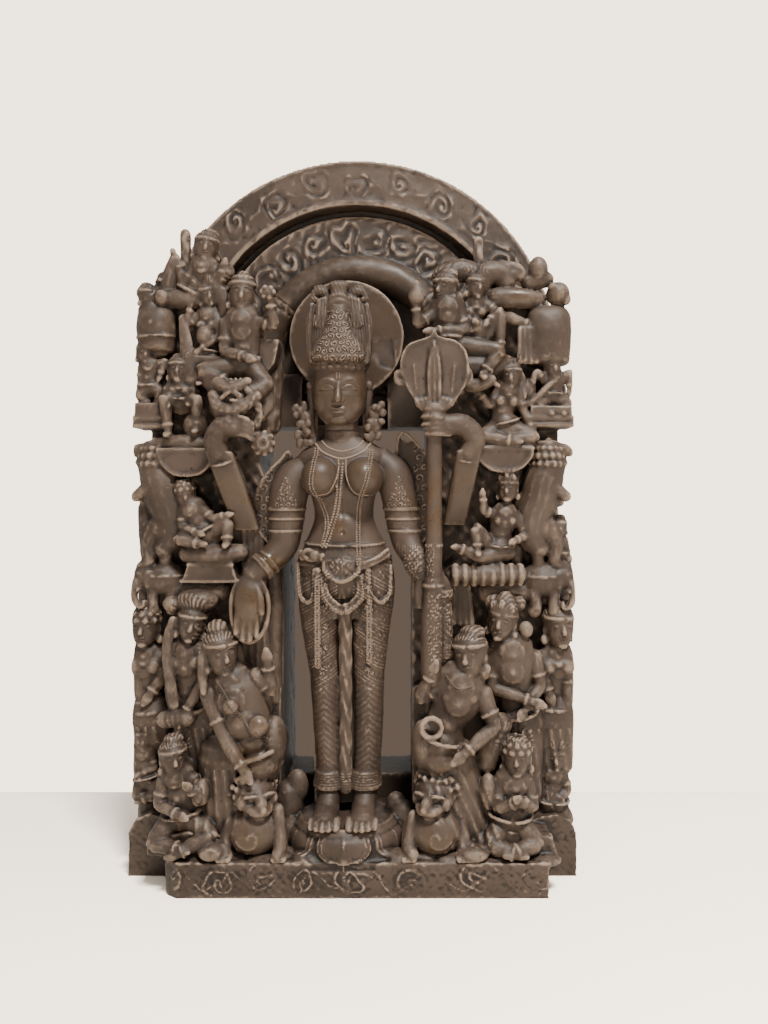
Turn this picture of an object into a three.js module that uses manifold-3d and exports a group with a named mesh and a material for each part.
// A carved stone stele: a standing four-armed goddess in front of an arched slab, between two
// flanks of small figures, on a lotus and a plinth. All of it is cut from one block of stone.
// Millimetres, +Z up, the front faces -Y, and the origin is under the middle of the block.

import * as THREE from 'three';
import { mergeVertices } from 'three/addons/utils/BufferGeometryUtils.js';
import Module from 'manifold-3d';

const wasm = await Module();
wasm.setup();

// Driving dimensions of the block

const STELE_WIDTH = 434;
const STELE_HEIGHT = 730;
const STELE_DEPTH = 190;
const SLAB_THICKNESS = 56;

const PLINTH_WIDTH = 365;
const PLINTH_HEIGHT = 33;
const WING_SETBACK = 43;
const WING_HEIGHT = 58;

const ARCH_BAND_WIDTH = 48;
const ARCH_RECESS_DEPTH = 22;
const LEAF_RING_OUTER = 160;
const LEAF_RING_LINE = 138;
const LEAF_RING_RISE = 12;
const BOLSTER_RADIUS = 98;
const BOLSTER_THICKNESS = 36;
const HALO_RADIUS = 61;
const HALO_X = -12;
const HALO_ABOVE_CENTRE = 24;
const HALO_RISE = 24;

// The two slots beside the goddess, each given by its left or right reach from the middle of the slab
const SLOT_BELOW_CENTRE = 72;
const SLOT_BOTTOM = 66;
const SLOT_TOP_REACH = [-98, 73];
const SLOT_LOW_REACH = [-73, 58];
const SLOT_WIDE_HEIGHT = 41;
const SLOT_TAPER = 60;
const SPINE_LEFT = -45;
const SPINE_RIGHT = 18;
const HOLLOW_HEIGHT = 58;
const HOLLOW_DEPTH = 34;
const HOLLOW_OVERHANG = 14;

const FLANK_DEPTH = 62;
const FLANK_INSET = 14;
const FLANK_ABOVE_CENTRE = 43;
const FLANK_MIDDLE = 148;
const LOW_MASS_DEPTH = 18;
const LOW_MASS_TOP = 215;

const GODDESS_HEIGHT = 518;
const GODDESS_X = -10;
const GODDESS_SETBACK = 57;
const SUPPORT_INSET = 6;
const SCARF_SETBACK = 8;
const SCARF_THICKNESS = 12;
const STAFF_PLACE = 22.5;
const LOTUS_RADIUS = 56;
const LOTUS_DEPTH_RADIUS = 47;
const LOTUS_TOP = 58;
const LOTUS_PETALS = 9;
const BROKEN_CORNER = 24;

const MOST_TRIANGLES = 9800;
const EDGE_LENGTH_WEIGHT = 0.0005;
const FULL_FACE_AREA = 15;
const SHARE_OF_EDGES_PER_PASS = 0.06;

const BACK = STELE_DEPTH / 2;
const FRONT = -STELE_DEPTH / 2;
const SLAB_FRONT = BACK - SLAB_THICKNESS;
const WING_FRONT = FRONT + WING_SETBACK;
const HALF_WIDTH = STELE_WIDTH / 2;
const ARCH_CENTRE = STELE_HEIGHT - HALF_WIDTH;
const HALO_Z = ARCH_CENTRE + HALO_ABOVE_CENTRE;
const SLOT_TOP = ARCH_CENTRE - SLOT_BELOW_CENTRE;
const SLOT_NARROWS_AT = SLOT_TOP - SLOT_WIDE_HEIGHT;
const FLANK_TOP = ARCH_CENTRE + FLANK_ABOVE_CENTRE;
const GODDESS_Y = FRONT + GODDESS_SETBACK;
const RECESS_RADIUS = HALF_WIDTH - ARCH_BAND_WIDTH;
const RECESS_FLOOR = SLAB_FRONT + ARCH_RECESS_DEPTH;
const FLANK_FRONT = SLAB_FRONT - FLANK_DEPTH;
const LOW_MASS_FRONT = FLANK_FRONT - LOW_MASS_DEPTH;

// Basic forms, each a closed three.js geometry

const UP = new THREE.Vector3(0, 1, 0);
const vector = (point) => new THREE.Vector3(...point);
const radians = THREE.MathUtils.degToRad;

// A rounded lump with its poles up and down. Two rings make a plain double cone.
function lump(centre, halfSizes, sides = 6, rings = 3) {
  return new THREE.SphereGeometry(1, sides, rings)
    .rotateX(Math.PI / 2)
    .scale(...halfSizes)
    .translate(...centre);
}

// A closed form with one ring of corners per level. corner(level, x, z) places each unit ring point,
// and level -1 and level count are the two end points.
function ringed(count, sides, corner) {
  const profile = [new THREE.Vector2(0, -1)];
  for (let level = 0; level < count; level += 1) profile.push(new THREE.Vector2(1, level));
  profile.push(new THREE.Vector2(0, count));
  const geometry = new THREE.LatheGeometry(profile, sides);
  const position = geometry.getAttribute('position');
  for (let i = 0; i < position.count; i += 1) {
    const place = corner(Math.round(position.getY(i)), position.getX(i), position.getZ(i));
    position.setXYZ(i, place.x, place.y, place.z);
  }
  return geometry;
}

// A round limb through two or more points, with a radius at each and pointed ends that sink into
// its neighbours. The ring at a bend lies halfway between the two directions that meet there.
function limb(points, radii, sides = 5) {
  const places = points.map(vector);
  const steps = places.slice(1).map((place, i) => place.clone().sub(places[i]).normalize());
  const turns = [];
  places.forEach((place, i) => {
    const before = steps[Math.max(i - 1, 0)];
    const after = steps[Math.min(i, steps.length - 1)];
    const middle = before.clone().add(after).normalize();
    const previous = i === 0 ? UP : turns[i - 1].middle;
    const turn = new THREE.Quaternion().setFromUnitVectors(previous, middle);
    turns.push({ middle, turn: i === 0 ? turn : turn.multiply(turns[i - 1].turn) });
  });
  return ringed(places.length, sides, (level, x, z) => {
    const i = Math.min(Math.max(level, 0), places.length - 1);
    const end = level < 0 ? -radii[i] / 2 : level === places.length ? radii[i] / 2 : 0;
    return new THREE.Vector3(x * radii[i], end, z * radii[i]).applyQuaternion(turns[i].turn).add(places[i]);
  });
}

// A body through oval sections [x, y, z, halfWidth, halfDepth], from the lowest to the highest. Its
// two end points may rise above the last section, as a neck does, or drop below the first.
function body(sections, sides = 8, rise = 0, drop = 0) {
  return ringed(sections.length, sides, (level, x, z) => {
    const [cx, cy, cz, halfWidth, halfDepth] = sections[Math.min(Math.max(level, 0), sections.length - 1)];
    const end = level < 0 ? -drop : level === sections.length ? rise : 0;
    return new THREE.Vector3(cx + x * halfWidth, cy - z * halfDepth, cz + end);
  });
}

// A slab with the outline given in X and Z, between two depths.
function plate(outline, front, back, curveSegments = 12) {
  const settings = { depth: back - front, bevelEnabled: false, curveSegments };
  return new THREE.ExtrudeGeometry(outline, settings)
    .rotateX(Math.PI / 2)
    .translate(0, back, 0);
}

function block(left, right, front, back, bottom, top) {
  return new THREE.BoxGeometry(right - left, back - front, top - bottom)
    .translate((left + right) / 2, (front + back) / 2, (bottom + top) / 2);
}

function outline(points) {
  return new THREE.Shape(points.map(([x, z]) => new THREE.Vector2(x, z)));
}

// A carved cord or rim that follows a curve.
function cord(curve, radius, steps, sides = 4) {
  const section = new THREE.Shape();
  for (let i = 0; i < sides; i += 1) {
    const angle = (2 * Math.PI * i) / sides;
    const point = [radius * Math.cos(angle), radius * Math.sin(angle)];
    if (i === 0) section.moveTo(...point);
    else section.lineTo(...point);
  }
  section.closePath();
  return new THREE.ExtrudeGeometry(section, { steps, extrudePath: curve, bevelEnabled: false });
}

function smoothCurve(points) {
  return new THREE.CatmullRomCurve3(points.map(vector));
}

// An arc in the plane of the slab, measured from the +X side, in degrees.
// A sway makes it wave in and out, once for each two points.
function archCurve(radius, y, fromDegrees, toDegrees, count = 9, sway = 0) {
  const points = [];
  for (let i = 0; i < count; i += 1) {
    const angle = radians(fromDegrees + ((toDegrees - fromDegrees) * i) / (count - 1));
    const reach = radius + (i % 2 === 0 ? sway : -sway);
    points.push([reach * Math.cos(angle), y, ARCH_CENTRE + reach * Math.sin(angle)]);
  }
  return smoothCurve(points);
}

// Joining and cutting

function solid(geometry) {
  const bare = new THREE.BufferGeometry();
  bare.setAttribute('position', geometry.getAttribute('position').clone());
  if (geometry.index) bare.setIndex(geometry.index.clone());
  const merged = mergeVertices(bare, 1e-4);
  const corners = merged.index.array;
  const kept = [];
  for (let i = 0; i < corners.length; i += 3) {
    const [a, b, c] = [corners[i], corners[i + 1], corners[i + 2]];
    if (a !== b && b !== c && c !== a) kept.push(a, b, c);
  }
  const vertProperties = new Float32Array(merged.getAttribute('position').array);
  return new wasm.Manifold(new wasm.Mesh({ numProp: 3, vertProperties, triVerts: new Uint32Array(kept) }));
}

function fuse(solids) {
  let level = solids;
  while (level.length > 1) {
    const next = [];
    for (let i = 0; i < level.length; i += 2) {
      next.push(i + 1 < level.length ? level[i].add(level[i + 1]) : level[i]);
    }
    level = next;
  }
  return level[0];
}

// Small figures

// An arm is two steps: shoulder to elbow, elbow to hand. A leg is hip to knee, knee to foot.
// Each step is [outwards, back, up] in shares of the figure's own standing height. Crossed legs
// are one flat lap instead.
const ARM = {
  hanging: [[0.04, 0.0, -0.17], [0.01, -0.05, -0.16]],
  raised: [[0.06, -0.03, -0.13], [0.03, -0.06, 0.15]],
  folded: [[0.05, -0.02, -0.15], [-0.11, -0.09, 0.04]],
  lap: [[0.05, -0.02, -0.15], [-0.08, -0.1, -0.05]],
  out: [[0.13, -0.02, -0.06], [0.12, -0.04, 0.02]],
  knee: [[0.07, -0.02, -0.14], [0.06, -0.1, -0.08]],
};
const LEG = {
  standing: [[0.0, -0.02, -0.23], [0.0, 0.01, -0.23]],
  hanging: [[0.08, -0.13, 0.0], [0.0, 0.02, -0.2]],
  raised: [[0.07, -0.12, 0.1], [0.0, -0.01, -0.17]],
  stride: [[0.13, -0.05, -0.13], [-0.03, 0.03, -0.2]],
  flying: [[0.04, -0.04, -0.22], [0.1, 0.04, 0.04]],
};

// The joints of a limb, from where it starts, on one side of the figure (-1 or 1).
function joints(start, steps, side) {
  const places = [start];
  steps.forEach(([out, back, up]) => {
    const [x, y, z] = places[places.length - 1];
    places.push([x + side * out, y + back, z + up]);
  });
  return places;
}

// A small figure, placed by the middle of its head. turn is about Z and lean is about Y, in degrees.
// A small one on the edge of the stele has simpler work than the others.
function person({
  head,
  height,
  turn = 0,
  lean = 0,
  sway = 0,
  headSize = 1,
  breasts = false,
  arms = ['hanging', 'hanging'],
  legs = ['standing', 'standing'],
  small = false,
}) {
  const limbSides = small ? 3 : 4;
  const parts = [
    lump([0, 0, 0.01], [0.075 * headSize, 0.075 * headSize, 0.1 * headSize], small ? 5 : 6, 4),
    body(
      small
        ? [[sway, 0, -0.45, 0.13, 0.1], [0, 0, -0.17, 0.13, 0.09]]
        : [
          [sway, 0, -0.44, 0.125, 0.09],
          [sway * 0.6, 0.01, -0.31, 0.08, 0.065],
          [0, 0, -0.18, 0.125, 0.075],
        ],
      small ? 4 : 6,
      0.18,
      0.04,
    ),
  ];
  const bun = [0.055, 0.055, 0.05].map((half) => half * headSize);
  if (!small) parts.push(lump([0, 0.03, 0.1 * headSize], bun, 5));
  if (breasts) {
    [-1, 1].forEach((side) => parts.push(lump([side * 0.055, -0.06, -0.215], [0.05, 0.05, 0.05], 5, 3)));
  }
  if (legs.includes('crossed')) parts.push(lump([sway, -0.07, -0.44], [0.23, 0.15, 0.075], 6));
  [-1, 1].forEach((side, index) => {
    const arm = joints([side * 0.11, 0, -0.17], ARM[arms[index]], side);
    parts.push(limb(arm, [0.055, 0.045, 0.034], limbSides));
    if (legs[index] === 'crossed') return;
    const leg = joints([sway + side * 0.06, 0, -0.42], LEG[legs[index]], side);
    parts.push(limb(leg, [0.08, 0.062, 0.045], limbSides));
  });
  const place = new THREE.Matrix4().compose(
    vector(head),
    new THREE.Quaternion().setFromEuler(new THREE.Euler(0, radians(lean), radians(turn), 'ZYX')),
    new THREE.Vector3(height, height, height),
  );
  return parts.map((part) => part.applyMatrix4(place));
}

// Places on an animal: outwards (side -1 is left), back and up, in shares of its size.
function animal([x, y, z], size, side) {
  const spot = (out, back, up) => [x + side * out * size, y + back * size, z + up * size];
  return {
    limb: (points, radii, sides) =>
      limb(points.map((point) => spot(...point)), radii.map((radius) => radius * size), sides),
    lump: (centre, halfSizes, sides, rings) =>
      lump(spot(...centre), halfSizes.map((half) => half * size), sides, rings),
  };
}

// A lion rearing against the edge of the stele, facing outwards.
function rearingLion(side, place, height) {
  const lion = animal(place, height, side);
  return [
    lion.lump([0.1, 0, 0.93], [0.14, 0.13, 0.1], 6, 3),
    lion.limb([[0.1, -0.02, 0.88], [0.2, -0.03, 0.93]], [0.09, 0.06], 4),
    lion.limb(
      [[0.12, 0, 0.86], [0, 0, 0.6], [-0.06, 0, 0.36], [0.0, -0.02, 0.2]],
      [0.13, 0.17, 0.15, 0.08],
      6,
    ),
    lion.limb([[-0.02, -0.02, 0.24], [0, -0.02, 0.0]], [0.07, 0.06], 4),
    lion.limb([[0.05, -0.05, 0.68], [0.18, -0.1, 0.6]], [0.07, 0.05], 4),
    lion.limb([[0.08, -0.02, 0.32], [0.12, -0.02, 0.1]], [0.1, 0.08], 4),
  ];
}

// An elephant kneeling under the lion, its head outwards.
function elephant(side, place, length) {
  const beast = animal(place, length, side);
  return [
    beast.lump([0, 0, 0.5], [0.42, 0.36, 0.36], 6, 4),
    beast.lump([0.3, -0.08, 0.52], [0.2, 0.28, 0.3], 6, 3),
    beast.limb([[0.38, -0.24, 0.5], [0.34, -0.3, 0.08]], [0.09, 0.06], 4),
    beast.limb([[-0.25, -0.15, 0.3], [-0.25, -0.18, 0.0]], [0.13, 0.12], 4),
  ];
}

// A lion crouching on the plinth beside the lotus.
function crouchingLion(side, place, height) {
  const lion = animal(place, height, side);
  return [
    lion.lump([0, 0.0, 0.72], [0.32, 0.28, 0.26], 7, 4),
    lion.limb([[0, -0.1, 0.64], [0, -0.3, 0.58]], [0.17, 0.12], 5),
    lion.lump([0, 0.1, 0.3], [0.36, 0.42, 0.34], 7, 4),
    lion.limb([[0.24, -0.1, 0.4], [0.32, -0.3, 0.06]], [0.13, 0.1], 4),
    lion.limb([[-0.24, -0.1, 0.4], [-0.28, -0.3, 0.06]], [0.13, 0.1], 4),
  ];
}

// A boat-shaped bracket that carries a seated figure on its flat top.
function bracket([x, y, top], halfWidth, depth, thickness) {
  const shape = outline([
    [x - halfWidth, top],
    [x - halfWidth * 0.9, top - thickness * 0.5],
    [x - halfWidth * 0.4, top - thickness],
    [x + halfWidth * 0.4, top - thickness],
    [x + halfWidth * 0.9, top - thickness * 0.5],
    [x + halfWidth, top],
  ]);
  return plate(shape, y, y + depth);
}

// A lotus seat: a rounded cushion over a spreading base.
function lotusSeat([x, y, top], halfWidth, halfDepth, height) {
  return body(
    [
      [x, y, top - height, halfWidth * 0.9, halfDepth * 0.9],
      [x, y, top - height * 0.8, halfWidth, halfDepth],
      [x, y, top - height * 0.5, halfWidth * 0.8, halfDepth * 0.8],
      [x, y, top - height * 0.2, halfWidth * 0.92, halfDepth * 0.92],
      [x, y, top, halfWidth * 0.72, halfDepth * 0.75],
    ],
    8,
  );
}

// The slab, its arch and the halo

function slotOutline(index) {
  const spineEdge = index === 0 ? SPINE_LEFT : SPINE_RIGHT;
  const wide = SLOT_TOP_REACH[index];
  const narrow = SLOT_LOW_REACH[index];
  return outline([
    [spineEdge, SLOT_BOTTOM],
    [narrow, SLOT_BOTTOM],
    [narrow, SLOT_NARROWS_AT - SLOT_TAPER],
    [wide, SLOT_NARROWS_AT],
    [wide, SLOT_TOP],
    [spineEdge, SLOT_TOP],
  ]);
}

function archedOutline(radius, bottom) {
  const shape = new THREE.Shape();
  shape.moveTo(radius, bottom);
  shape.lineTo(radius, ARCH_CENTRE);
  shape.absarc(0, ARCH_CENTRE, radius, 0, Math.PI, false);
  shape.lineTo(-radius, bottom);
  shape.closePath();
  return shape;
}

function leafRing() {
  const shape = new THREE.Shape();
  shape.absarc(0, ARCH_CENTRE, LEAF_RING_OUTER, 0, Math.PI, false);
  shape.absarc(0, ARCH_CENTRE, BOLSTER_RADIUS, Math.PI, 0, true);
  return plate(shape, RECESS_FLOOR - LEAF_RING_RISE, RECESS_FLOOR + 1, 8);
}

// A leafy scroll along an arch: a stem that waves in and out, with a curled leaf in each hollow.
function scrollAlongArch(radius, y, count, fromDegrees, toDegrees, size, rise) {
  const sway = size * 0.55;
  const carving = [cord(archCurve(radius, y, fromDegrees, toDegrees, count, sway), rise * 0.8, 2 * count)];
  for (let i = 0; i < count; i += 1) {
    const angle = radians(fromDegrees + ((toDegrees - fromDegrees) * i) / (count - 1));
    const reach = radius + (i % 2 === 0 ? -sway : sway);
    carving.push(
      new THREE.SphereGeometry(1, 6, 4)
        .scale(size * 0.62, rise, size * 0.5)
        .rotateY(-angle)
        .translate(reach * Math.cos(angle), y, ARCH_CENTRE + reach * Math.sin(angle)),
    );
  }
  return carving;
}

function halo() {
  const thickness = HALO_RISE + SLAB_THICKNESS / 2;
  const disc = new THREE.CylinderGeometry(HALO_RADIUS, HALO_RADIUS, thickness, 18)
    .translate(HALO_X, SLAB_FRONT - HALO_RISE + thickness / 2, HALO_Z);
  const bolster = cord(
    archCurve(BOLSTER_RADIUS, RECESS_FLOOR - LEAF_RING_RISE - 2, 12, 168),
    BOLSTER_THICKNESS / 2,
    11,
    6,
  );
  return [disc, bolster];
}

// The stone left standing between the goddess's back and the slab.
function support() {
  const [left, right] = [SPINE_LEFT + SUPPORT_INSET, SPINE_RIGHT - SUPPORT_INSET];
  return block(left, right, GODDESS_Y, SLAB_FRONT + 1, SLOT_BOTTOM - 1, SLOT_NARROWS_AT);
}

function slab() {
  const hollowTop = SLOT_TOP + HOLLOW_HEIGHT;
  const recess = solid(plate(archedOutline(RECESS_RADIUS, hollowTop), FRONT, RECESS_FLOOR, 9));
  const [hollowLeft, hollowRight] = [SPINE_LEFT - HOLLOW_OVERHANG, SPINE_RIGHT + HOLLOW_OVERHANG];
  const hollow = solid(block(hollowLeft, hollowRight, FRONT, SLAB_FRONT + HOLLOW_DEPTH, SLOT_TOP, hollowTop));
  const carvedArch = fuse([
    solid(plate(archedOutline(HALF_WIDTH, 0), SLAB_FRONT, BACK, 11)).subtract(recess),
    solid(leafRing()),
    ...scrollAlongArch((HALF_WIDTH + RECESS_RADIUS) / 2, SLAB_FRONT, 15, 24, 156, 20, 5).map(solid),
    ...scrollAlongArch(LEAF_RING_LINE, RECESS_FLOOR - LEAF_RING_RISE, 9, 34, 146, 18, 6).map(solid),
    ...halo().map(solid),
    solid(support()),
  ]);
  return [0, 1].reduce(
    (stone, index) => stone.subtract(solid(plate(slotOutline(index), FRONT, BACK + 1))),
    carvedArch.subtract(hollow),
  );
}

// Flanks: a mass of stone on each side that the small figures are carved out of

function flankMass(side, index) {
  const inner = SLOT_LOW_REACH[index];
  const innerTop = SLOT_TOP_REACH[index];
  const outer = side * (HALF_WIDTH - FLANK_INSET);
  const middle = side * FLANK_MIDDLE;
  return [
    plate(
      outline([
        [inner, PLINTH_HEIGHT],
        [outer, PLINTH_HEIGHT],
        [outer, FLANK_TOP - 30],
        [middle + side * 30, FLANK_TOP + 20],
        [middle, FLANK_TOP + 28],
        [innerTop, FLANK_TOP - 30],
        [innerTop, SLOT_NARROWS_AT],
        [inner, SLOT_NARROWS_AT - SLOT_TAPER],
      ]),
      FLANK_FRONT,
      SLAB_FRONT + 1,
    ),
    plate(
      outline([
        [inner, PLINTH_HEIGHT],
        [side * (HALF_WIDTH - 2 * FLANK_INSET), PLINTH_HEIGHT],
        [middle + side * 36, LOW_MASS_TOP - 20],
        [middle - side * 10, LOW_MASS_TOP],
        [inner, LOW_MASS_TOP - 40],
      ]),
      LOW_MASS_FRONT,
      FLANK_FRONT + 1,
    ),
  ];
}

// The carving of a flank is laid out on its own: [across, back, up], across from the edge of the stele,
// back from the flank's face and up from the top of the plinth, in units that grow with the stele.
const FLANK_UNIT = (ARCH_CENTRE - PLINTH_HEIGHT) / 480;

function onFlank(side, carving) {
  const place = [side * HALF_WIDTH, FLANK_FRONT, PLINTH_HEIGHT];
  return carving.map((form) => form.scale(1, 1, FLANK_UNIT).translate(...place));
}

// Hanging folds of cloth, or the flutes of a small pillar, side by side.
function pleats([x, y, top], bottom, count, spacing, radius) {
  const folds = [];
  for (let i = 0; i < count; i += 1) {
    const [foot, head] = [x + i * spacing, x + i * spacing * 0.8];
    folds.push(limb([[foot, y, bottom], [head, y, top]], [radius, radius * 0.8], 4));
  }
  return folds;
}

function leftFlank() {
  const flyingFigure = person({
    head: [60, 11, 580], height: 100, lean: 40, small: true,
    arms: ['raised', 'out'], legs: ['flying', 'flying'],
  });
  const flyingAttendant = person({
    head: [14, -3, 530], height: 80, turn: -20, small: true, arms: ['folded', 'hanging'],
  });
  const seatedGod = person({
    head: [106, -13, 532], height: 145, headSize: 1.15, turn: -12,
    arms: ['lap', 'raised'], legs: ['crossed', 'crossed'],
  });
  const hisConsort = person({
    head: [68, -7, 535], height: 118, headSize: 1.1, turn: 15, breasts: true, arms: ['folded', 'lap'],
    legs: ['hanging', 'crossed'],
  });
  const dancer = person({
    head: [8, -5, 478], height: 72, lean: -15, small: true,
    arms: ['raised', 'out'], legs: ['stride', 'stride'],
  });
  const seatedLady = person({
    head: [41, -8, 461], height: 124, turn: 8, breasts: true,
    arms: ['knee', 'lap'], legs: ['hanging', 'crossed'],
  });
  const sage = person({
    head: [44, -14, 337], height: 124, sway: 0.16, turn: 15,
    arms: ['knee', 'folded'], legs: ['crossed', 'raised'],
  });
  return onFlank(-1, [
    ...flyingFigure,
    limb([[46, 13, 557], [45, 13, 599]], [5, 5], 4),
    ...flyingAttendant,
    lump([20, 1, 497], [20, 18, 26], 6, 4),
    ...seatedGod,
    ...hisConsort,
    block(56, 125, -16, 23, 462, 472),
    limb([[47, 3, 509], [54, -6, 478], [60, -4, 448]], [6, 7, 8], 5),
    lump([92, -6, 447], [28, 22, 20], 7, 4),
    lump([110, -15, 426], [20, 18, 18], 6, 4),
    limb([[80, 0, 432], [66, -8, 414]], [12, 8], 5),
    limb([[131, 29, 479], [129, 25, 407]], [13, 12], 4),
    ...dancer,
    block(-1, 33, -17, 23, 401, 426),
    ...seatedLady,
    bracket([51, -21, 385], 27, 40, 26),
    ...rearingLion(-1, [29, -4, 257], 128),
    ...elephant(-1, [25, -1, 223], 54),
    ...sage,
    lotusSeat([77, -5, 289], 34, 26, 40),
    block(51, 111, -21, 13, 213, 251),
    ...pleats([106, -8, 300], 130, 4, 7, 5),
    limb([[137, 3, 130], [137, 3, 330]], [8, 8], 5),
  ]);
}

function rightFlank() {
  const flyingFigure = person({
    head: [-73, 11, 577], height: 100, lean: -40, small: true,
    arms: ['out', 'raised'], legs: ['flying', 'flying'],
  });
  const flyingAttendant = person({
    head: [-21, -1, 557], height: 84, turn: 20, small: true, arms: ['hanging', 'folded'],
  });
  const seatedGod = person({
    head: [-126, -13, 538], height: 134, headSize: 1.15, turn: 15,
    arms: ['raised', 'lap'], legs: ['crossed', 'crossed'],
  });
  const hisConsort = person({
    head: [-95, -7, 545], height: 114, headSize: 1.1, turn: -10, breasts: true, arms: ['lap', 'folded'],
    legs: ['crossed', 'hanging'],
  });
  const seatedLady = person({
    head: [-59, -8, 461], height: 128, turn: -8, breasts: true,
    arms: ['lap', 'knee'], legs: ['crossed', 'crossed'],
  });
  const dancer = person({
    head: [-29, -7, 468], height: 78, lean: 12, small: true,
    arms: ['out', 'raised'], legs: ['crossed', 'stride'],
  });
  const drummer = person({ head: [-11, -3, 470], height: 80, small: true, legs: ['crossed', 'crossed'] });
  const seatedGoddess = person({
    head: [-61, -14, 338], height: 124, sway: -0.08, turn: -10, breasts: true, arms: ['knee', 'folded'],
    legs: ['raised', 'crossed'],
  });
  return onFlank(1, [
    ...flyingFigure,
    limb([[-88, 15, 557], [-88, 63, 627]], [5, 5], 4),
    ...flyingAttendant,
    lump([-18, 1, 502], [18, 18, 24], 6, 4),
    ...seatedGod,
    ...hisConsort,
    lump([-89, -5, 475], [34, 18, 12], 7, 4),
    limb([[-112, 1, 460], [-92, -6, 448], [-75, -7, 439]], [12, 10, 8], 5),
    ...seatedLady,
    ...dancer,
    ...drummer,
    block(-43, 0, -19, 23, 401, 425),
    bracket([-68, -21, 385], 27, 40, 26),
    ...rearingLion(1, [-33, -4, 257], 128),
    ...elephant(1, [-25, -1, 221], 56),
    ...seatedGoddess,
    lotusSeat([-85, -5, 285], 34, 26, 38),
    limb([[-54, 7, 251], [-54, 7, 367]], [6, 6], 4),
    block(-115, -55, -21, 13, 213, 249),
    ...pleats([-122, -8, 235], 130, 4, 8, 6),
    limb([[-148, 3, 110], [-148, 3, 345]], [8, 8], 5),
  ]);
}

function lowerLeft() {
  const outerAttendant = person({
    head: [13, -5, 204], height: 188, headSize: 1.05, sway: 0.02, breasts: true,
    arms: ['hanging', 'folded'],
  });
  const secondAttendant = person({
    head: [57, -21, 213], height: 216, headSize: 0.95, sway: -0.04, turn: -8, breasts: true,
    arms: ['hanging', 'folded'],
  });
  const frontAttendant = person({
    head: [91, -43, 179], height: 190, headSize: 1.05, sway: 0.17, turn: 10, breasts: true,
    arms: ['hanging', 'folded'],
  });
  const seatedDevotee = person({
    head: [49, -43, 85], height: 140, headSize: 1.2, turn: 12,
    arms: ['folded', 'lap'], legs: ['crossed', 'crossed'],
  });
  const smallDevotee = person({
    head: [13, -9, 87], height: 100, small: true, headSize: 1.2,
    arms: ['lap', 'lap'], legs: ['crossed', 'crossed'],
  });
  return onFlank(-1, [
    ...outerAttendant,
    ...secondAttendant,
    lump([72, -11, 231], [15, 15, 13], 6),
    ...frontAttendant,
    body([[122, -40, 52, 25, 18], [124, -42, 74, 26, 20], [122, -42, 106, 21, 18]], 8, 10),
    lump([120, -18, 163], [17, 20, 19], 6, 4),
    ...seatedDevotee,
    ...smallDevotee,
    body([[14, 0, 20, 15, 16], [14, 0, 110, 17, 16]], 6, 6),
    ...crouchingLion(-1, [127, -50, 0], 72),
  ]);
}

function lowerRight() {
  const outerAttendant = person({
    head: [-13, -5, 203], height: 188, headSize: 1.05, sway: -0.02, breasts: true,
    arms: ['folded', 'hanging'],
  });
  const secondAttendant = person({
    head: [-70, -21, 210], height: 214, headSize: 1.05, sway: 0.04, turn: 8, breasts: true,
    arms: ['lap', 'folded'],
  });
  const frontAttendant = person({
    head: [-103, -43, 185], height: 200, headSize: 1.0, sway: -0.1, turn: -8, breasts: true,
    arms: ['raised', 'folded'],
  });
  const kneelingDevotee = person({
    head: [-62, -43, 85], height: 140, headSize: 1.2, turn: -12,
    arms: ['lap', 'folded'], legs: ['crossed', 'crossed'],
  });
  const smallDevotee = person({
    head: [-19, -11, 69], height: 100, small: true, headSize: 1.2,
    arms: ['lap', 'lap'], legs: ['crossed', 'crossed'],
  });
  return onFlank(1, [
    ...outerAttendant,
    ...secondAttendant,
    ...frontAttendant,
    body([[-106, -42, 4, 23, 18], [-106, -42, 60, 24, 20], [-114, -42, 114, 22, 18]], 8, 10),
    lump([-124, -42, 92], [14, 16, 15], 6, 4),
    ...kneelingDevotee,
    ...smallDevotee,
    body([[-16, 0, 20, 15, 16], [-14, 0, 110, 17, 16]], 6, 6),
    ...crouchingLion(1, [-140, -50, 0], 68),
  ]);
}

// The goddess. Her body is laid out in fingers, the sculptor's unit: 130 of them make her height
// from the soles to the top of the crown. Places are [x, y, z] from a point between her heels.

const FINGER = GODDESS_HEIGHT / 130;
const fingers = ([x, y, z]) => [GODDESS_X + x * FINGER, GODDESS_Y + y * FINGER, LOTUS_TOP + z * FINGER];
const carvedLimb = (points, radii, sides = 6) =>
  limb(points.map(fingers), radii.map((radius) => radius * FINGER), sides);
const carvedLump = (centre, halfSizes, sides = 6, rings = 3) =>
  lump(fingers(centre), halfSizes.map((half) => half * FINGER), sides, rings);
const carvedBody = (sections, sides) =>
  body(
    sections.map(([x, y, z, ...halves]) => [...fingers([x, y, z]), ...halves.map((half) => half * FINGER)]),
    sides,
  );
const carvedCord = (points, radius, steps, sides = 3) =>
  cord(smoothCurve(points.map(fingers)), radius * FINGER, steps, sides);

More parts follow.
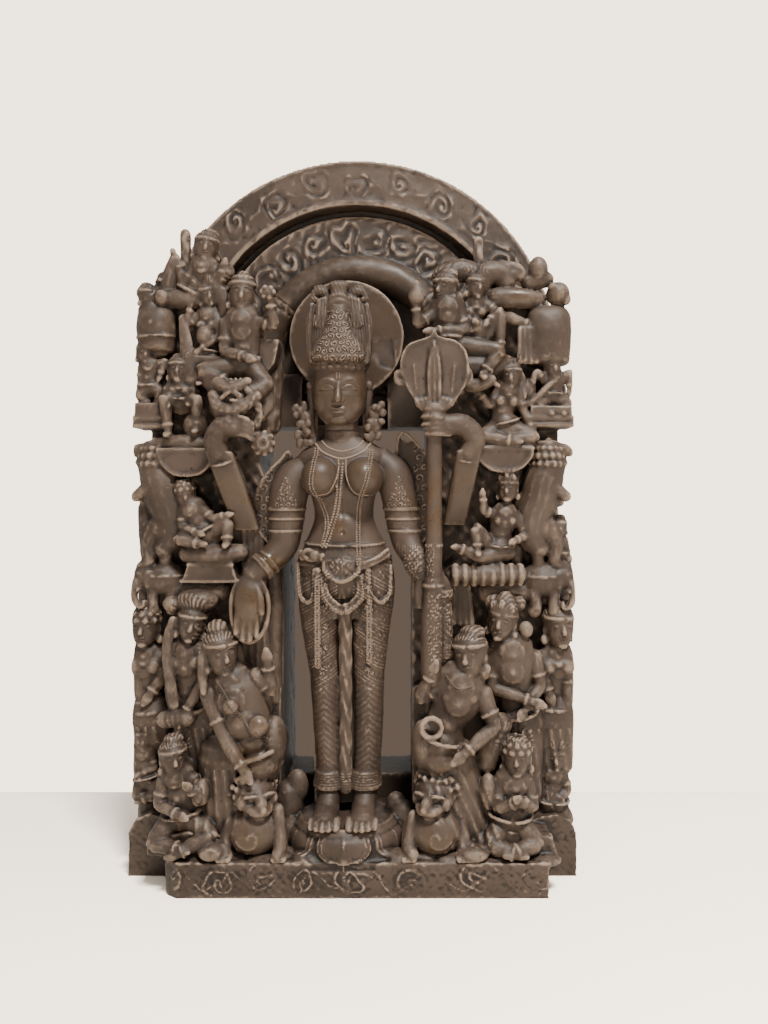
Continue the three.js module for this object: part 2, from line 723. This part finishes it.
function torso() {
  return [
    carvedBody([
      [0.4, 0.5, 54, 10.8, 6.8],
      [0.4, 0.5, 61, 11.6, 7.2],
      [0.2, 0.8, 73, 7.3, 5.2],
      [0.1, 0.6, 79, 8.8, 5.8],
      [0, 0.4, 87, 13.2, 5.8],
      [0, 0.8, 90.5, 6.4, 4.4],
      [-0.2, 0.6, 97, 4.2, 4],
    ], 8),
    ...[-5.8, 5.6].map((x) => carvedLump([x, -4.8, 82.3], [4.7, 4.4, 4.7], 7, 4)),
    carvedCord([[-7, -1, 90], [-4, -4.4, 88.5], [0, -5.8, 87.2], [4, -4.4, 88.5], [7, -1, 90]], 1.1, 4),
    carvedCord([[0.2, -6.4, 87], [0, -7, 80], [-1.6, -5.8, 72], [-3.4, -6.8, 63]], 0.9, 3),
    carvedCord([[6.4, -4.2, 90], [5.8, -9.2, 83], [3.6, -6.2, 74], [3.2, -7, 62]], 0.9, 4),
    carvedCord([[-6.4, -4.2, 90], [-5.6, -9.2, 83], [-4.2, -6.2, 74], [-3.6, -7, 64]], 0.9, 4),
  ];
}

function headAndCrown() {
  return [
    carvedBody([
      [-0.8, -2.6, 94.2, 2, 2.2],
      [-0.8, -1.6, 96.4, 4.4, 4.8],
      [-0.8, -1, 101, 6, 6.2],
      [-0.8, -0.6, 106, 6.4, 6.6],
      [-0.8, -0.4, 110.6, 6.4, 6.2],
    ], 10),
    carvedLimb([[-0.8, -6.6, 105.6], [-0.8, -8, 101.4]], [0.6, 1.1], 4),
    ...[-3.4, 1.8].map((x) => carvedLump([x, -6.2, 103.8], [1.8, 1.2, 0.9], 6)),
    carvedLump([-0.8, -6.2, 98.4], [2, 1.4, 0.9], 6),
    carvedBody([
      [-0.8, 0.2, 109.4, 7.4, 7],
      [-0.8, 0.4, 118, 8.2, 6.4],
      [-0.6, 0.6, 124.6, 7.4, 5.4],
      [-0.6, 0.6, 127, 5, 4],
    ], 8),
    carvedBody([
      [-0.8, -4.6, 110.6, 5.4, 3.2],
      [-0.8, -4.8, 114.4, 5, 2.8],
      [-0.8, -4.4, 121.6, 2, 1.8],
    ], 6),
    carvedLump([-0.4, -2.2, 127.6], [2.4, 2.8, 2.4]),
    ...[-4.6, 3.8].map((x) => carvedLump([x, -2.2, 126.2], [2.3, 2.4, 1.9], 5)),
    carvedCord([[-4.4, -4.2, 121.6], [-2.6, -5.8, 123.2], [0.4, -5.8, 123.4], [2.8, -4.2, 121.6]], 1, 3, 4),
    ...[-5.4, 4.6].map((x) => carvedLimb([[x, -4.2, 123.4], [x, -4.8, 117]], [1.4, 1.1], 4)),
    ...[-1, 1].flatMap((side) => [
      carvedLimb([[-0.8 + side * 6.4, 0, 109], [-0.8 + side * 7.6, -0.4, 95]], [1.2, 1.2], 4),
      carvedLump([-0.8 + side * 8.8, -1, side < 0 ? 94.6 : 96.4], [2.5, 2.4, side < 0 ? 4.6 : 3.6]),
    ]),
  ];
}

function legsAndFeet() {
  const leg = (ankle, knee, thigh) => [
    carvedBody([
      [ankle, 0.4, 4, 3.1, 3.2],
      [ankle, 0.4, 9, 3.4, 3.6],
      [(ankle + knee) / 2, 0.2, 20, 3.7, 4.1],
      [knee, -0.2, 33, 4.6, 4.6],
      [thigh, 0.4, 56, 5.6, 6.2],
    ], 7),
    carvedLimb([[ankle, 0.4, 7.6], [ankle, 0.4, 10]], [4.1, 4], 7),
    carvedBody([
      [ankle - 0.6, -4.2, -0.5, 4.2, 7],
      [ankle - 0.6, -4, 1.8, 3.9, 6.4],
      [ankle, -1.2, 6.6, 2.9, 3.6],
    ], 8),
    ...[-3, -1.5, 0, 1.5, 3].map((across) => {
      const [toe, tip] = [ankle - 0.6 + across, -12.4 + Math.abs(across) * 0.5];
      return carvedLimb([[toe, -9, 1], [toe, tip, 0.6]], [1, 0.8], 4);
    }),
  ];
  return [
    ...leg(-3.3, -4.4, -5.4),
    ...leg(5.6, 6.2, 6.6),
    carvedBody([[0.9, -2.4, 6, 2, 1.8], [0.9, -3.4, 56, 1.5, 2]], 4),
  ];
}

function girdle() {
  return [
    carvedBody([[0.4, 0.4, 61.6, 12.2, 7.8], [0.4, 0.4, 65.2, 11, 7.2]], 8),
    carvedCord([[-5.6, -6, 62], [-4.6, -6.8, 54], [-0.6, -7.6, 48.6], [3.2, -6.8, 54], [4.2, -6, 62]], 1.1, 6),
    carvedCord([[-3.8, -6.6, 62], [-0.6, -7.6, 56], [2.6, -6.6, 62]], 1.1, 4),
    carvedCord([[-10.6, -3, 62], [-9.2, -5.4, 53], [-7.4, -6.2, 50.6], [-5.8, -6, 55]], 1, 4),
    carvedCord([[11, -3, 62], [10.4, -5.4, 53], [8.6, -6.2, 50.6], [6.8, -6, 55]], 1, 4),
  ];
}

function frontArms() {
  const armlet = (x) => carvedLimb([[x, 0.4, 78.8], [x, 0.2, 73.6]], [5.2, 5], 7);
  return [
    carvedLimb([[-12.6, 1, 88], [-13.8, 0.8, 82], [-13.6, 0, 68.5], [-21.2, -4, 59]], [4, 5, 4.2, 2.9], 7),
    armlet(-13.6),
    carvedLimb([[-20.6, -3.8, 60], [-21.8, -4.6, 57.4]], [3.8, 3.8], 6),
    carvedBody([
      [-22.4, -7, 43.6, 2, 0.8],
      [-22.4, -6.6, 50, 3.5, 1.5],
      [-21.8, -4.8, 58.6, 2.8, 2.4],
    ], 6),
    carvedLimb([[12.6, 1, 88], [14.6, 0.8, 82], [15, 0, 69.5], [19.8, -4.4, 60]], [4, 5, 4.2, 3.6], 7),
    armlet(15),
    carvedBody([[18, -5.4, 52.2, 1.4, 1.2], [18.6, -4.8, 61, 1.8, 1.8]], 4),
    carvedLimb([[23.4, -6.6, 53.6], [23.4, -6.6, 57.8]], [3.4, 3.4], 6),
  ];
}

// The two rear arms: plain bars that broke and lost their carving, with the hands that hold the
// flower and the staff, and the ends of a scarf that show behind the front arms.
function rearArms() {
  const scarf = (points) => plate(
    outline(points.map(([x, z]) => [fingers([x, 0, z])[0], fingers([x, 0, z])[2]])),
    GODDESS_Y + SCARF_SETBACK,
    GODDESS_Y + SCARF_SETBACK + SCARF_THICKNESS,
  );
  return [
    carvedLimb([[-29.2, -5, 89], [-23.4, 3, 69.2]], [3.4, 3.8]),
    carvedLimb(
      [[-29.6, -5.6, 88.6], [-30.4, -6, 91], [-27.2, -6.8, 94.6], [-21.6, -7, 92.4]],
      [3.3, 3, 2.8, 2.4],
      5,
    ),
    carvedLump([-20.2, -7.6, 89.6], [4, 3.4, 4]),
    carvedLump([-24.6, -5.4, 99], [6, 3.4, 4.6]),
    carvedLimb([[30, -5, 89], [27, 3, 70.4]], [2.7, 2.6]),
    carvedLimb([[30.4, -5.4, 88.4], [32, -5.8, 91.4], [22.6, -7.4, 95]], [2.8, 3, 2.8], 5),
    scarf([[-21.6, 70], [-17, 67.6], [-12, 70], [-14, 90], [-19.8, 82], [-22, 76]]),
    scarf([[13, 70], [19, 70], [22.4, 76], [22, 84], [19, 89.6], [14, 91]]),
  ];
}

function trident() {
  const staffY = -6.8;
  const blade = outline([
    [0, 117], [3.2, 113.4], [7.8, 111.4], [7.4, 107], [3.6, 101.6], [2.4, 98],
    [-2.4, 98], [-4.2, 102.6], [-7, 107], [-7.8, 111.2], [-3.2, 113.8],
  ].map(([across, z]) => [fingers([STAFF_PLACE + across, 0, z])[0], fingers([0, 0, z])[2]]));
  return [
    plate(blade, GODDESS_Y + (staffY - 1.6) * FINGER, GODDESS_Y + (staffY + 2.4) * FINGER),
    carvedLimb([[STAFF_PLACE, staffY - 1.4, 100], [STAFF_PLACE, staffY - 1.4, 114.6]], [1.6, 0.9], 3),
    carvedLimb([[STAFF_PLACE, staffY, 52], [STAFF_PLACE, staffY, 96]], [2.1, 2.1]),
    carvedLimb([[STAFF_PLACE, staffY, 95], [STAFF_PLACE, staffY, 99.4]], [3.4, 3.4]),
    carvedLimb([[STAFF_PLACE - 0.6, staffY, 34], [STAFF_PLACE, staffY, 54]], [2.7, 2.5], 5),
    carvedLump([14.8, staffY + 0.6, 106.8], [1.6, 1.8, 1.6], 5),
    carvedLimb([[24.6, staffY, 98], [28.4, staffY + 0.6, 101]], [1.4, 1.2], 4),
  ];
}

// The lotus under her feet: a plain round top over a ring of broad petals that turn down over the plinth.
function lotus() {
  const [x, y] = [GODDESS_X + 4, GODDESS_Y - 8];
  const sides = 4 * LOTUS_PETALS;
  const levels = [
    { z: PLINTH_HEIGHT - 8, share: 0.86, lobe: 0.1 },
    { z: PLINTH_HEIGHT + 5, share: 0.9, lobe: 0.12 },
    { z: LOTUS_TOP - 7, share: 0.92, lobe: 0.07 },
    { z: LOTUS_TOP - 3, share: 0.84, lobe: 0 },
    { z: LOTUS_TOP, share: 0.84, lobe: 0 },
  ];
  return ringed(levels.length, sides, (level, unitX, unitY) => {
    const { z, share, lobe } = levels[Math.min(Math.max(level, 0), levels.length - 1)];
    const bulge = Math.abs(Math.cos((Math.atan2(unitY, unitX) * LOTUS_PETALS) / 2));
    const reach = share + lobe * bulge;
    return new THREE.Vector3(x + unitX * LOTUS_RADIUS * reach, y - unitY * LOTUS_DEPTH_RADIUS * reach, z);
  });
}

function plinth() {
  const half = PLINTH_WIDTH / 2;
  const front = new THREE.Shape([
    [-half, WING_FRONT + 2],
    [-half + BROKEN_CORNER / 2, FRONT + BROKEN_CORNER / 3],
    [-half + BROKEN_CORNER, FRONT],
    [half, FRONT],
    [half, WING_FRONT + 2],
  ].map(([x, y]) => new THREE.Vector2(x, y)));
  const ground = PLINTH_HEIGHT + 8;
  const rightHalf = [
    [LOTUS_RADIUS, ground], [half - 30, WING_HEIGHT - 10], [HALF_WIDTH - 20, WING_HEIGHT + 2],
    [HALF_WIDTH - 7, WING_HEIGHT - 3], [HALF_WIDTH, WING_HEIGHT - 16], [HALF_WIDTH, 0],
  ];
  const leftHalf = rightHalf.map(([x, z]) => [-x, z]).reverse();
  const seatRock = (side) => plate(
    outline([
      [side * 108, PLINTH_HEIGHT - 1], [side * 192, PLINTH_HEIGHT - 1], [side * 188, PLINTH_HEIGHT + 18],
      [side * 140, PLINTH_HEIGHT + 24], [side * 112, PLINTH_HEIGHT + 10],
    ]),
    FRONT + 14,
    WING_FRONT + 8,
  );
  return [
    new THREE.ExtrudeGeometry(front, { depth: PLINTH_HEIGHT, bevelEnabled: false }),
    plate(outline([...leftHalf, ...rightHalf]), WING_FRONT, BACK),
    seatRock(-1),
    seatRock(1),
    limb([[-60, -48, PLINTH_HEIGHT], [-58, -34, 86]], [13, 9], 5),
    limb([[48, -48, PLINTH_HEIGHT], [44, -34, 66]], [13, 9], 5),
    limb([[-4, FRONT + 6, 2], [-5, FRONT + 7, PLINTH_HEIGHT + 4]], [7, 9], 5),
  ];
}

// What stands proud of the block's faces is cut flush with them, as the stone's own faces were.
function stele() {
  const carving = fuse([
    ...flankMass(-1, 0),
    ...flankMass(1, 1),
    ...leftFlank(),
    ...rightFlank(),
    ...lowerLeft(),
    ...lowerRight(),
    ...torso(),
    ...headAndCrown(),
    ...legsAndFeet(),
    ...girdle(),
    ...frontArms(),
    ...rearArms(),
    ...trident(),
    lotus(),
    ...plinth(),
  ].map(solid)).add(slab());
  const rawBlock = solid(block(-HALF_WIDTH, HALF_WIDTH, FRONT, BACK, 0, STELE_HEIGHT));
  return carving.intersect(rawBlock);
}

// Thinning. Joining leaves many small triangles, so edges are closed up, the least telling first,
// until the stone has few enough. An edge's cost is the sum of the square distances of its new
// corner from the faces around it, and corners on the faces of the block stay on them.

const BLOCK_FACES = [
  [0, -HALF_WIDTH], [0, HALF_WIDTH], [1, FRONT], [1, BACK], [2, 0], [2, STELE_HEIGHT],
];

// A set of bits, one for each face of the block that the point lies on.
function facesTouched(point) {
  const bits = BLOCK_FACES.map(([axis, value], bit) => (Math.abs(point[axis] - value) < 1e-3 ? 1 << bit : 0));
  return bits.reduce((all, one) => all | one, 0);
}

const minus = (a, b) => [a[0] - b[0], a[1] - b[1], a[2] - b[2]];
const dot = (a, b) => a[0] * b[0] + a[1] * b[1] + a[2] * b[2];
const cross = (a, b) => [a[1] * b[2] - a[2] * b[1], a[2] * b[0] - a[0] * b[2], a[0] * b[1] - a[1] * b[0]];

// The planes around each corner, summed as ten numbers. A sliver counts for less than a full face.
function planeSums(points, triangles) {
  const sums = points.map(() => new Float64Array(10));
  triangles.forEach(([a, b, c]) => {
    const normal = cross(minus(points[b], points[a]), minus(points[c], points[a]));
    const size = Math.hypot(...normal);
    if (size < 1e-9) return;
    const [x, y, z] = normal.map((value) => value / size);
    const w = -(x * points[a][0] + y * points[a][1] + z * points[a][2]);
    const terms = [x * x, x * y, x * z, x * w, y * y, y * z, y * w, z * z, z * w, w * w];
    const weight = Math.min(size / (2 * FULL_FACE_AREA), 1);
    [a, b, c].forEach((corner) => terms.forEach((term, i) => { sums[corner][i] += term * weight; }));
  });
  return sums;
}

function offset(sum, [x, y, z]) {
  const total = sum[0] * x * x + 2 * sum[1] * x * y + 2 * sum[2] * x * z + 2 * sum[3] * x
    + sum[4] * y * y + 2 * sum[5] * y * z + 2 * sum[6] * y
    + sum[7] * z * z + 2 * sum[8] * z + sum[9];
  return Math.max(total, 0);
}

// The cheapest place for the corner that an edge closes up to, or null where none is allowed.
function bestPlace(points, sums, a, b) {
  const both = sums[a].map((value, i) => value + sums[b][i]);
  const needed = facesTouched(points[a]) | facesTouched(points[b]);
  const span = minus(points[a], points[b]);
  const middle = points[a].map((value, i) => (value + points[b][i]) / 2);
  let best = null;
  [points[a], points[b], middle].forEach((place) => {
    if ((facesTouched(place) & needed) !== needed) return;
    const cost = offset(both, place) + EDGE_LENGTH_WEIGHT * dot(span, span);
    if (!best || cost < best.cost) best = { a, b, cost, place, both };
  });
  return best;
}

function keepsItsWay(points, triangle, moved, place) {
  const before = triangle.map((corner) => points[corner]);
  const after = triangle.map((corner) => (moved.includes(corner) ? place : points[corner]));
  const [old, fresh] = [before, after].map(([p, q, r]) => cross(minus(q, p), minus(r, p)));
  return dot(old, fresh) > 0.25 * Math.hypot(...old) * Math.hypot(...fresh) && Math.hypot(...fresh) > 1e-3;
}

function closeUpEdges(points, triangles, sums, mostToRemove) {
  const around = points.map(() => []);
  triangles.forEach((triangle, i) => triangle.forEach((corner) => around[corner].push(i)));
  const neighbours = (corner) => {
    const near = new Set(around[corner].flatMap((i) => triangles[i]));
    near.delete(corner);
    return near;
  };
  const edges = triangles
    .flatMap(([a, b, c]) => [[a, b], [b, c], [c, a]])
    .filter(([a, b]) => a < b)
    .map(([a, b]) => bestPlace(points, sums, a, b))
    .filter((edge) => edge !== null)
    .sort((one, other) => one.cost - other.cost);
  edges.length = Math.ceil(edges.length * SHARE_OF_EDGES_PER_PASS);
  const settled = new Uint8Array(points.length);
  const removed = new Set();
  for (const { a, b, place, both } of edges) {
    if (removed.size >= mostToRemove) break;
    if (settled[a] || settled[b]) continue;
    const [nearA, nearB] = [neighbours(a), neighbours(b)];
    const shared = [...nearA].filter((corner) => nearB.has(corner));
    const vanishes = (i) => triangles[i].includes(a) && triangles[i].includes(b);
    const changing = [...around[a], ...around[b]].filter((i) => !vanishes(i));
    const sound = shared.length === 2 && [...nearA, ...nearB].every((corner) => !settled[corner])
      && changing.every((i) => keepsItsWay(points, triangles[i], [a, b], place));
    if (!sound) continue;
    around[a].concat(around[b]).forEach((i) => {
      if (vanishes(i)) removed.add(i);
      triangles[i] = triangles[i].map((corner) => (corner === b ? a : corner));
    });
    points[a] = place;
    sums[a] = both;
    [a, b, ...nearA, ...nearB].forEach((corner) => { settled[corner] = 1; });
  }
  return triangles.filter((_, i) => !removed.has(i));
}

function skinOf({ vertProperties, triVerts }) {
  const threes = (list) =>
    Array.from({ length: list.length / 3 }, (_, i) => Array.from(list.slice(3 * i, 3 * i + 3)));
  return { points: threes(vertProperties), triangles: threes(triVerts) };
}

function thinned(skin) {
  const { points } = skin;
  let { triangles } = skin;
  const sums = planeSums(points, triangles);
  let before = Infinity;
  while (triangles.length > MOST_TRIANGLES && triangles.length < before) {
    before = triangles.length;
    triangles = closeUpEdges(points, triangles, sums, triangles.length - MOST_TRIANGLES);
  }
  return { points, triangles };
}

// A pocket that is sealed in between two forms is left as solid stone: its skin faces inwards, so the
// volume inside it comes out negative.
function withoutPockets({ points, triangles }) {
  const parent = points.map((_, i) => i);
  const root = (i) => {
    let top = i;
    while (parent[top] !== top) top = parent[top];
    for (let j = i; parent[j] !== top;) [j, parent[j]] = [parent[j], top];
    return top;
  };
  triangles.forEach(([a, b, c]) => { parent[root(b)] = root(a); parent[root(c)] = root(a); });
  const volumes = new Map();
  triangles.forEach(([a, b, c]) => {
    const skin = root(a);
    volumes.set(skin, (volumes.get(skin) ?? 0) + dot(points[a], cross(points[b], points[c])) / 6);
  });
  return { points, triangles: triangles.filter(([a]) => volumes.get(root(a)) > 0) };
}

function meshFrom({ points, triangles }, name, material) {
  const geometry = new THREE.BufferGeometry();
  geometry.setAttribute('position', new THREE.Float32BufferAttribute(points.flat(), 3));
  geometry.setIndex(triangles.flat());
  geometry.computeVertexNormals();
  const mesh = new THREE.Mesh(geometry, material);
  mesh.name = name;
  return mesh;
}

const schist = new THREE.MeshStandardMaterial({ color: 0x54473d, roughness: 0.72, metalness: 0 });

const group = new THREE.Group();
group.add(meshFrom(thinned(withoutPockets(skinOf(stele().getMesh()))), 'stele', schist));

export default group;
